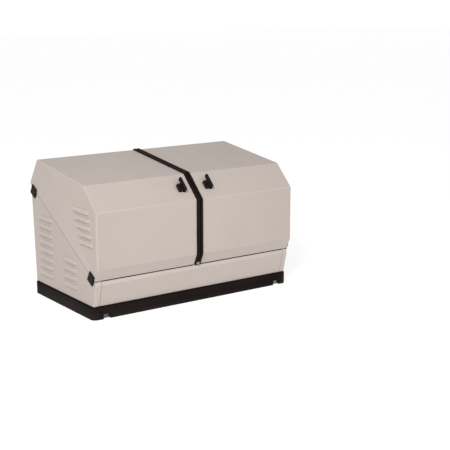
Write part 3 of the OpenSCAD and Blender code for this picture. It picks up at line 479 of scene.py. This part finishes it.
def slot_plates(m):
    """Plate and bolt head seen through each lift slot of the base."""
    front = corners("base")[0].y
    for side, x in (("left", -545), ("right", 555)):
        def build(work):
            rounded_box(work, (x - 20.5, front + 14, 1), (x + 20.5, front + 17, 25), 1)
            lathe(work, (x, front + 9, 12), (0, 1, 0), [(5, 0), (6.5, 1), (6.5, 5)], 6)
        add_piece(f"lift_slot_plate_{side}", build, "enclosure", m["iron"])


def joint_strips(m):
    """Painted strips behind the upright joints between the end panels and the front panel."""
    low, high = corners("front_panel")

    # The strip's face behind the panel's foot, lip and top (y, z)
    foot, lip, top = (-313.2, 71), (-341.6, 184), (-338, 203)
    reach, thick = 12, 1.5

    def build(work):
        for x in (low.x, high.x):
            for (y0, z0), (y1, z1) in ((foot, lip), (lip, top)):
                strip = [work.verts.new((x + dx, y + dy, z)) for dx in (-reach, reach)
                    for y, z, dy in ((y0, z0, 0), (y1, z1, 0), (y1, z1, thick), (y0, z0, thick))]
                join_rings(work, [strip[:4], strip[4:]])
    add_piece("panel_joint_strips", build, "enclosure", m["beige_paint"], smooth=False)


# Middle of a latch's gasket, seen from the turning axis
GASKET_ASIDE = -13.5
GASKET_UP = 19


def latch_lock(m, side):
    """Key lock on a latch's block, and the pale gasket that shows below the block."""
    joint = next(j for j in frame["joints"] if j["name"] == f"latch_{side}_turn")
    out = Vector(joint["axis"]).normalized()
    at = Vector(joint["pos_m"]) / MM
    up = Vector((1, 0, 0)).cross(out).normalized()
    if up.z < 0:
        up = -up
    lock_aside, lock_up, keyway_floor = -21, 12, 16.2
    lock_at = at + Vector((lock_aside, 0, 0)) + up * lock_up + out * keyway_floor

    def build_lock(work):
        lathe(work, lock_at, out, [(6.8, 0), (6.8, 2.2), (6.0, 3.0), (4.2, 3.0), (4.2, 2.2), (0.6, 2.2)], 28)
    add_piece(f"latch_lock_{side}", build_lock, f"lid_{side}", m["black_moulding"])

    def build_gasket(work):
        made = rounded_box(work, (-23, -26, 0), (19.5, 23, 1.6), 0.7)
        centre = at + Vector((GASKET_ASIDE, 0, 0)) + up * GASKET_UP
        for vert in made:
            local = vert.co.copy()
            vert.co = centre + Vector((local.x, 0, 0)) + up * local.y + out * local.z
    add_piece(f"latch_gasket_{side}", build_gasket, f"lid_{side}", m["grey_rubber"])


# ---- Details inside ----
# The engine's shaft, how far the two exhaust pipes lie to each side of it, and their height
SHAFT_Y = 30
SHAFT_Z = 300
PORT_OUT = 147
PIPE_Z = 447


def inside_details(m):
    ignition(m)
    battery_leads(m)
    hoses(m)
    harness(m)
    fan_guard(m)
    pipe_clamps(m)
    engine_bolts(m)
    panel_controls(m)
    for side in ("left", "right"):
        lid_foam(m, side)


def ignition(m):
    """Two coils on the blower housing, each with a lead to its spark plug."""
    top = corners("blower_housing")[1].z
    plug_z = corners("cylinder_heads")[1].z - 42
    for name, y, plug_y, plug_x in (("front", -25, -118, 197), ("rear", 85, 178, 241)):
        def build_coil(work):
            rounded_box(work, (294, y - 18, top), (334, y + 18, top + 24), 4)
            lathe(work, (294, y, top + 12), (-1, 0, 0), [(8, -1), (8, 8), (6, 12)], 20)
        add_piece(f"ignition_coil_{name}", build_coil, "enclosure", m["black_moulding"])
        route = [(284, y, top + 12), (268, y + (plug_y - y) * 0.2, top + 20),
            (plug_x + 44, y + (plug_y - y) * 0.75, top + 12), (plug_x + 40, plug_y, plug_z + 6),
            (plug_x + 14, plug_y, plug_z)]

        def build_lead(work):
            sweep(work, smooth_path(route), 3.6)
            boot = [(7, 0), (9, 2), (9, 16), (6, 22), (4.2, 30)]
            lathe(work, (plug_x, plug_y, plug_z), (1, 0, 0), boot, 24)
        add_piece(f"ignition_lead_{name}", build_lead, "enclosure", m["black_rubber"])


def battery_leads(m):
    """Leads with their terminal boots: positive to the starter motor, negative to the engine rail."""
    low, high = corners("battery")
    x = low.x + 22
    routes = {
        "positive": (m["red_rubber"], high.y - 26, [(x, high.y - 26, high.z + 8),
            (x - 20, high.y - 16, high.z + 16), (x - 25, high.y - 5, high.z - 40), (x - 26, -20, 128),
            (320, 40, 112), (264, 96, 112), (263, 150, 146), (262, 190, 190), (252, 204, 262),
            (228, 192, 306)]),
        "negative": (m["black_rubber"], low.y + 26, [(x, low.y + 26, high.z + 8),
            (x - 20, low.y + 18, high.z + 10), (x - 30, low.y + 36, high.z - 50), (x - 52, -150, 150),
            (326, -104, 136)]),
    }
    for name, (material, y, route) in routes.items():
        def build(work):
            sweep(work, smooth_path(route), 5)
            lathe(work, (x, y, high.z - 4), (0, 0, 1), [(13, 0), (14, 3), (14, 12), (10, 17), (0.5, 18)], 28)
        add_piece(f"battery_lead_{name}", build, "enclosure", material)


def hoses(m):
    """Fuel hose from the regulator to the mixer, breather hose to the air cleaner, and their clamps."""
    def build_fuel(work):
        route = [(470, 206, 262), (468, 205, 320), (440, 180, 420), (385, 120, 502), (320, 80, 506),
            (262, 60, 505), (216, 45, 492), (184, 36, 468)]
        sweep(work, smooth_path(route, 10), 9, 18)
    add_piece("fuel_hose", build_fuel, "enclosure", m["black_rubber"])

    def build_breather(work):
        route = [(112, -142, 476), (108, -132, 520), (104, -98, 548), (100, -58, 556)]
        sweep(work, smooth_path(route), 7, 16)
    add_piece("breather_hose", build_breather, "enclosure", m["black_rubber"])

    def build_clamps(work):
        places = (((468.8, 205.4, 290), (0, 0.02, 1), 10), ((205, 42, 485), (0.8, 0.25, 0.5), 10),
            ((110, -138, 496), (0, 0.1, 1), 8), ((102, -76, 554), (0, 1, 0.1), 8))
        for at, axis, radius in places:
            inner, outer = radius - 0.6, radius + 0.6
            lathe(work, at, axis, [(inner, 0), (outer, 0.6), (outer, 8), (inner, 8.6)], 28)
    add_piece("hose_clamps", build_clamps, "enclosure", m["zinc_steel"])


def harness(m):
    """Corrugated conduits from the control box to the alternator and the engine."""
    back = corners("control_box")[1]
    routes = {
        "alternator": [(-150, back.y - 2, 440), (-150, back.y + 34, 462), (-155, -100, 450),
            (-160, -58, 400)],
        "engine": [(back.x - 4, -230, 420), (back.x + 30, -228, 436), (12, -190, 380), (40, -130, 300),
            (66, -78, 262)],
    }
    for name, route in routes.items():
        def build(work):
            sweep(work, smooth_path(route, 22), 8, 16, rib=1.3)
        add_piece(f"harness_{name}", build, "enclosure", m["black_moulding"])


def fan_guard(m):
    """Wire guard over the engine's air intake."""
    x = corners("blower_housing")[1].x + 2

    def build(work):
        for radius in (24, 42, 60, 78, 96):
            sweep(work, circle_path((x, SHAFT_Y, SHAFT_Z), (1, 0, 0), radius), 1.7, 8, closed=True)
        for k in range(6):
            a = math.radians(30 + 60 * k)
            reach = Vector((0, math.cos(a), math.sin(a)))
            middle = Vector((x - 1.5, SHAFT_Y, SHAFT_Z))
            sweep(work, [middle + reach * 18, middle + reach * 60, middle + reach * 104], 1.9, 8)
    add_piece("fan_guard", build, "enclosure", m["zinc_steel"])


def pipe_clamps(m):
    """Band clamps on the two exhaust pipes, each with its screw block on top."""
    band = [(16.6, 0), (19.2, 0.8), (19.2, 14), (16.6, 14.8)]

    def build(work):
        for y in (SHAFT_Y - PORT_OUT, SHAFT_Y + PORT_OUT):
            for x in (-290, -60):
                lathe(work, (x, y, PIPE_Z), (1, 0, 0), band, 36)
                rounded_box(work, (x + 2, y - 6, PIPE_Z + 17), (x + 12, y + 6, PIPE_Z + 29), 1.5)
    add_piece("exhaust_clamps", build, "enclosure", m["zinc_steel"])


def engine_bolts(m):
    """Bolts round the blower housing, round the stator housing's end and on the air cleaner."""
    front_x = corners("blower_housing")[1].x
    rear_x = corners("stator_housing")[0].x
    cleaner_top = corners("air_cleaner")[1].z

    def build(work):
        for k in range(8):
            a = math.radians(22.5 + 45 * k)
            bolt(work, (front_x, SHAFT_Y + 128 * math.cos(a), SHAFT_Z + 128 * math.sin(a)), (1, 0, 0), 4)
        for k in range(6):
            a = math.radians(15 + 60 * k)
            bolt(work, (rear_x, SHAFT_Y + 110 * math.cos(a), SHAFT_Z + 110 * math.sin(a)), (-1, 0, 0), 4.5)
        for x in (78, 242):
            for y in (-42, 102):
                bolt(work, (x, y, cleaner_top - 1), (0, 0, 1), 3.2)
    add_piece("engine_bolts", build, "enclosure", m["zinc_steel"])


# Heights of the row of keys and the row of lamps on the control panel
KEYS_Z = 431
LAMPS_Z = 534


def panel_controls(m):
    """Bezel, keys, lamps and screws on the control panel."""
    face = corners("control_panel")
    window = corners("display_window")
    y = face[0].y

    def build_bezel(work):
        ring = [(window[0].x - 3, window[0].z - 3), (window[1].x + 3, window[0].z - 3),
            (window[1].x + 3, window[1].z + 3), (window[0].x - 3, window[1].z + 3)]
        path = [Vector((x, y - 0.6, z)) for x, z in ring]
        for a, b in zip(path, path[1:] + path[:1]):
            sweep(work, [a, (a + b) / 2, b], 2.2, 10)
    add_piece("display_bezel", build_bezel, "enclosure", m["dark_paint"])

    def build_keys(work):
        for k in range(4):
            x = window[0].x + 10 + 20 * k
            rounded_box(work, (x - 7, y - 2.4, KEYS_Z - 5), (x + 7, y + 0.4, KEYS_Z + 5), 1.2)
    add_piece("panel_keys", build_keys, "enclosure", m["pale_rubber"])

    for name, x, material in (("ready", -140, m["lamp_green"]), ("fault", -122, m["lamp_red"])):
        def build_lamp(work):
            lathe(work, (x, y + 0.2, LAMPS_Z), (0, -1, 0), [(3.6, 0), (3.4, 1.4), (2.4, 2.6), (0.3, 3)], 20)
        add_piece(f"panel_lamp_{name}", build_lamp, "enclosure", material)

    def build_screws(work):
        for x in (face[0].x + 9, face[1].x - 9):
            for z in (face[0].z + 9, face[1].z - 9):
                lathe(work, (x, y, z), (0, -1, 0), [(4, 0), (4, 0.8), (2.8, 2), (0.3, 2.3)], 20)
    add_piece("panel_face_screws", build_screws, "enclosure", m["zinc_steel"])


def lid_foam(m, side):
    """Sound-absorbing foam under a lid's roof, with a crowned, pinched outline."""
    sign = -1 if side == "left" else 1
    x0, x1, y0, y1, thick = 60, 560, -190, 235, 16
    front_y, front_z, rear_y, rear_z = -245, 687, 275, 753
    sheet = 3.5
    cells = 24

    def under_roof(y):
        return front_z + (y - front_y) * (rear_z - front_z) / (rear_y - front_y) - sheet

    def build(work):
        sheets = []
        for under in (False, True):
            grid = []
            for i in range(cells + 1):
                for j in range(cells + 1):
                    u, v = i / cells, j / cells
                    x, y = x0 + (x1 - x0) * u, y0 + (y1 - y0) * v
                    edge = min(1.0, 12 * min(u, 1 - u, v, 1 - v) + 0.25)
                    wave = 1.6 * math.sin(u * 26 * math.pi) * math.sin(v * 22 * math.pi)
                    depth = (thick + wave) * math.sqrt(edge) if under else 0
                    grid.append(work.verts.new((sign * x, y, under_roof(y) - depth)))
            sheets.append(grid)
        top, low = sheets
        row = cells + 1
        for i in range(cells):
            for j in range(cells):
                k = i * row + j
                work.faces.new((top[k], top[k + 1], top[k + row + 1], top[k + row]))
                work.faces.new((low[k], low[k + row], low[k + row + 1], low[k + 1]))
        rim = [i * row for i in range(cells)] + [cells * row + j for j in range(cells)]
        rim += [i * row + cells for i in range(cells, 0, -1)] + list(range(cells, 0, -1))
        for a, b in zip(rim, rim[1:] + rim[:1]):
            work.faces.new((top[a], top[b], low[b], low[a]))
    add_piece(f"lid_foam_{side}", build, f"lid_{side}", m["foam"])


make_camera()
make_studio()
materials = paint_cad()
materials.update({name: soft_rubber(name, *shades) for name, shades in SOFT_SHADES.items()})
materials["foam"] = foam()
outside_details(materials)
inside_details(materials)
